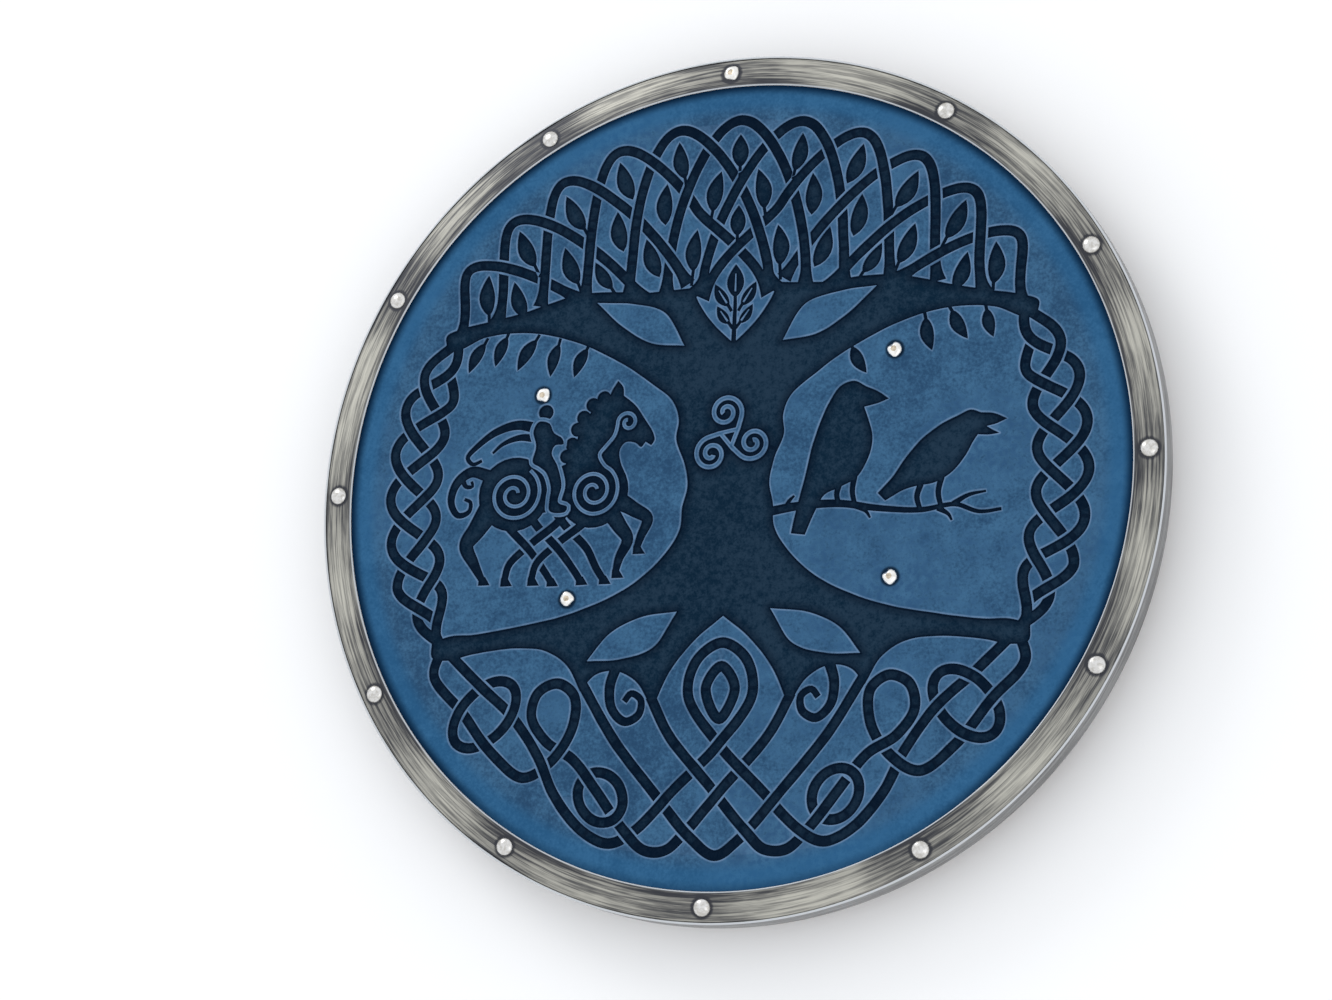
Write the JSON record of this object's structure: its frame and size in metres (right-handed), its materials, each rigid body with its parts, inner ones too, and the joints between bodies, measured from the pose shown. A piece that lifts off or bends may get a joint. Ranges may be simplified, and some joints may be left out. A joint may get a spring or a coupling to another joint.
{
  "type": "round shield",
  "caption": "Flat round wooden shield faced in tooled blue leather with a world tree, edged in riveted steel, with an arm strap and a grip strap behind.",
  "frame": {"origin": "on the ground under the middle of the shield, which lies face up on its two straps", "axes": "+Z out of the tooled face, +Y toward the top of the design, +X to the right of a viewer who faces the design"},
  "size_m": [0.61, 0.61, 0.0506],
  "materials": {
    "board": "bare, lightly oiled",
    "facing": "dyed and antiqued, satin",
    "rim": "brushed along the edge, darkened in patches",
    "rivet": "bright plated, slightly worn",
    "washer": "plain",
    "strap": "brown, smooth, edges burnished"
  },
  "bodies": {
    "root": {"board": "board", "leather_facing": "facing", "rim_ring": "rim", "edge_hoop": "rim", "rim_rivet_01": "rivet", "rim_rivet_02": "rivet", "rim_rivet_03": "rivet", "rim_rivet_04": "rivet", "rim_rivet_05": "rivet", "rim_rivet_06": "rivet", "rim_rivet_07": "rivet", "rim_rivet_08": "rivet", "rim_rivet_09": "rivet", "rim_rivet_10": "rivet", "rim_rivet_11": "rivet", "rim_rivet_12": "rivet", "strap_rivet_left_upper": "rivet", "strap_washer_left_upper": "washer", "strap_rivet_left_lower": "rivet", "strap_washer_left_lower": "washer", "strap_rivet_right_upper": "rivet", "strap_washer_right_upper": "washer", "strap_rivet_right_lower": "rivet", "strap_washer_right_lower": "washer", "arm_strap": "strap", "grip_strap": "strap"}
  },
  "joints": []
}
